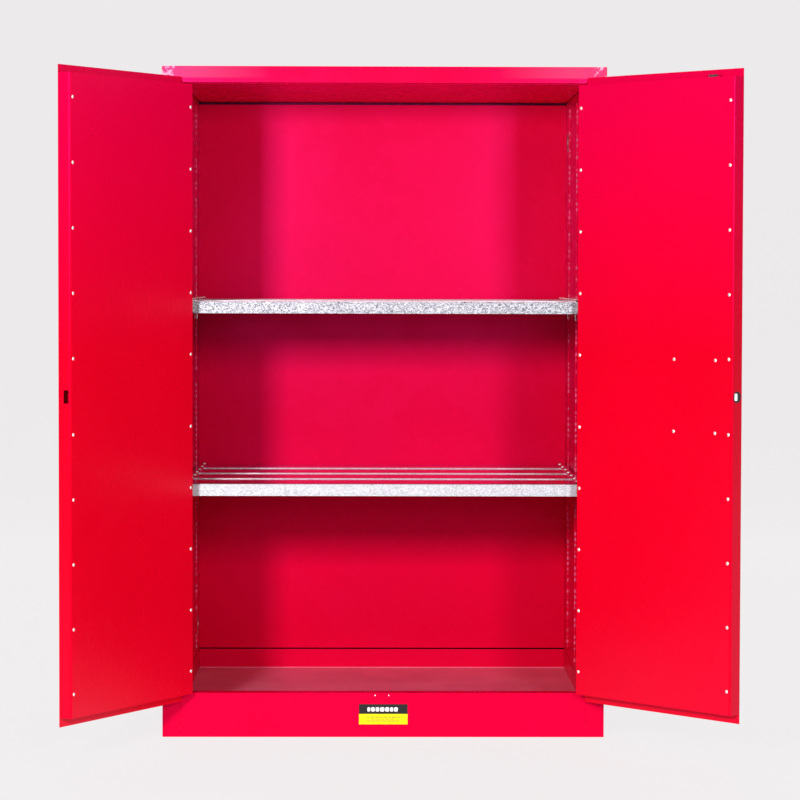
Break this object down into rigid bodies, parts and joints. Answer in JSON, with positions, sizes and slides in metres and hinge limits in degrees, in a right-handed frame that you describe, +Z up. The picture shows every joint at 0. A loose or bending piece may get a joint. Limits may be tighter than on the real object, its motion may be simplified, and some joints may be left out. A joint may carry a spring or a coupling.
{
  "type": "flammable storage cabinet",
  "caption": "Double-wall steel safety cabinet with two hinged doors standing open, galvanised shelves, a leakproof sump and a three-way latch.",
  "frame": {"origin": "on the floor, at the centre of the cabinet body's footprint, on the underside of the middle skid", "axes": "+Z up, -Y out of the front opening, +X to the right when facing the front"},
  "size_m": [1.5875, 1.3046, 1.65],
  "materials": {
    "red_powder_coat": "glossy red powder coat with fine orange peel",
    "red_inside": "the same red powder coat on the inside sheets",
    "galvanised_steel": "hot-dip galvanised with a visible spangle",
    "zinc_plate": "bright zinc plate",
    "black_cast": "satin black coated die casting",
    "polished_chrome": "polished",
    "nylon": "natural nylon",
    "label_film": "printed vinyl, black over yellow",
    "stainless": "perforated disc",
    "brass": "plain"
  },
  "bodies": {
    "cabinet": {"outer_side_left": "red_powder_coat", "outer_side_right": "red_powder_coat", "outer_back": "red_powder_coat", "outer_top": "red_powder_coat", "outer_base": "red_powder_coat", "header": "red_powder_coat", "plinth": "red_powder_coat", "inner_side_left": "red_inside", "inner_side_right": "red_inside", "inner_back": "red_inside", "inner_ceiling": "red_inside", "sump_tray": "red_inside", "shelf_standards_left": "red_inside", "shelf_standards_right": "red_inside", "shelf_clips": "zinc_plate", "hinge_frame_leaf_left": "red_powder_coat", "hinge_frame_leaf_right": "red_powder_coat", "hinge_pin_left": "zinc_plate", "hinge_pin_right": "zinc_plate", "vent_body_left": "zinc_plate", "vent_body_right": "zinc_plate", "flame_arrester_left": "stainless", "flame_arrester_right": "stainless", "earth_stud": "brass", "safety_label": "label_film"},
    "left_door": {"door_skin_left": "red_powder_coat", "door_panel_left": "red_powder_coat", "door_stiffeners_left": "red_powder_coat", "door_screws_left": "zinc_plate", "hinge_door_leaf_left": "red_powder_coat"},
    "right_door": {"door_skin_right": "red_powder_coat", "door_panel_right": "red_powder_coat", "door_stiffeners_right": "red_powder_coat", "door_screws_right": "zinc_plate", "hinge_door_leaf_right": "red_powder_coat", "latch_screws": "zinc_plate", "latch_plate": "zinc_plate", "rod_guides": "nylon", "bolt_bush": "black_cast", "handle_escutcheon": "black_cast"},
    "handle": {"turn_handle": "black_cast", "latch_cam": "zinc_plate"},
    "key_barrel": {"lock_barrel": "polished_chrome"},
    "upper_rod": {"top_rod": "zinc_plate"},
    "lower_rod": {"bottom_rod": "zinc_plate"},
    "bolt": {"side_bolt": "zinc_plate"},
    "lower_shelf": {"lower_shelf_deck": "galvanised_steel", "lower_shelf_front_rail": "galvanised_steel", "lower_shelf_side_rails": "galvanised_steel", "lower_shelf_rivets": "zinc_plate"},
    "upper_shelf": {"upper_shelf_deck": "galvanised_steel", "upper_shelf_front_rail": "galvanised_steel", "upper_shelf_side_rails": "galvanised_steel", "upper_shelf_rivets": "zinc_plate"},
    "foot_left_front": {"levelling_foot_left_front": "zinc_plate"},
    "foot_left_rear": {"levelling_foot_left_rear": "zinc_plate"},
    "cap_left": {"vent_cap_left": "zinc_plate"},
    "foot_right_front": {"levelling_foot_right_front": "zinc_plate"},
    "foot_right_rear": {"levelling_foot_right_rear": "zinc_plate"},
    "cap_right": {"vent_cap_right": "zinc_plate"}
  },
  "joints": [
    {"name": "left_door_hinge", "type": "hinge", "parent": "cabinet", "child": "left_door", "pos_m": [-0.4975, -0.4339, 0.857], "axis": [0, 0, 1], "range_deg": [-58.6, 121.4]},
    {"name": "right_door_hinge", "type": "hinge", "parent": "cabinet", "child": "right_door", "pos_m": [0.4975, -0.4339, 0.857], "axis": [0, 0, 1], "range_deg": [-132.9, 47.1]},
    {"name": "handle_turn", "type": "hinge", "parent": "right_door", "child": "handle", "pos_m": [0.75664, -0.71115, 0.857], "axis": [-0.7325, -0.6807, 0], "range_deg": [0, 90]},
    {"name": "key_turn", "type": "hinge", "parent": "handle", "child": "key_barrel", "pos_m": [0.76763, -0.70094, 0.857], "axis": [-0.7325, -0.6807, 0], "range_deg": [0, 90]},
    {"name": "top_rod_slide", "type": "slide", "parent": "right_door", "child": "upper_rod", "axis": [0, 0, 1], "range_m": [0, 0.009]},
    {"name": "bottom_rod_slide", "type": "slide", "parent": "right_door", "child": "lower_rod", "axis": [0, 0, -1], "range_m": [0, 0.009]},
    {"name": "side_bolt_slide", "type": "slide", "parent": "right_door", "child": "bolt", "axis": [0.6807, -0.7325, 0], "range_m": [0, 0.009]},
    {"name": "lower_shelf_lift", "type": "slide", "parent": "cabinet", "child": "lower_shelf", "axis": [0, 0, 1], "range_m": [0, 0.04]},
    {"name": "upper_shelf_lift", "type": "slide", "parent": "cabinet", "child": "upper_shelf", "axis": [0, 0, 1], "range_m": [0, 0.04]},
    {"name": "foot_left_front_wind", "type": "slide", "parent": "cabinet", "child": "foot_left_front", "axis": [0, 0, -1], "range_m": [0, 0.025]},
    {"name": "foot_left_rear_wind", "type": "slide", "parent": "cabinet", "child": "foot_left_rear", "axis": [0, 0, -1], "range_m": [0, 0.025]},
    {"name": "cap_left_unscrew", "type": "slide", "parent": "cabinet", "child": "cap_left", "axis": [-1, 0, 0], "range_m": [0, 0.03]},
    {"name": "foot_right_front_wind", "type": "slide", "parent": "cabinet", "child": "foot_right_front", "axis": [0, 0, -1], "range_m": [0, 0.025]},
    {"name": "foot_right_rear_wind", "type": "slide", "parent": "cabinet", "child": "foot_right_rear", "axis": [0, 0, -1], "range_m": [0, 0.025]},
    {"name": "cap_right_unscrew", "type": "slide", "parent": "cabinet", "child": "cap_right", "axis": [1, 0, 0], "range_m": [0, 0.03]}
  ],
  "couplings": [
    {"joint": "top_rod_slide", "follows": "handle_turn", "m_per_rad": 0.0057295},
    {"joint": "bottom_rod_slide", "follows": "handle_turn", "m_per_rad": 0.0057295},
    {"joint": "side_bolt_slide", "follows": "handle_turn", "m_per_rad": 0.0057295}
  ]
}
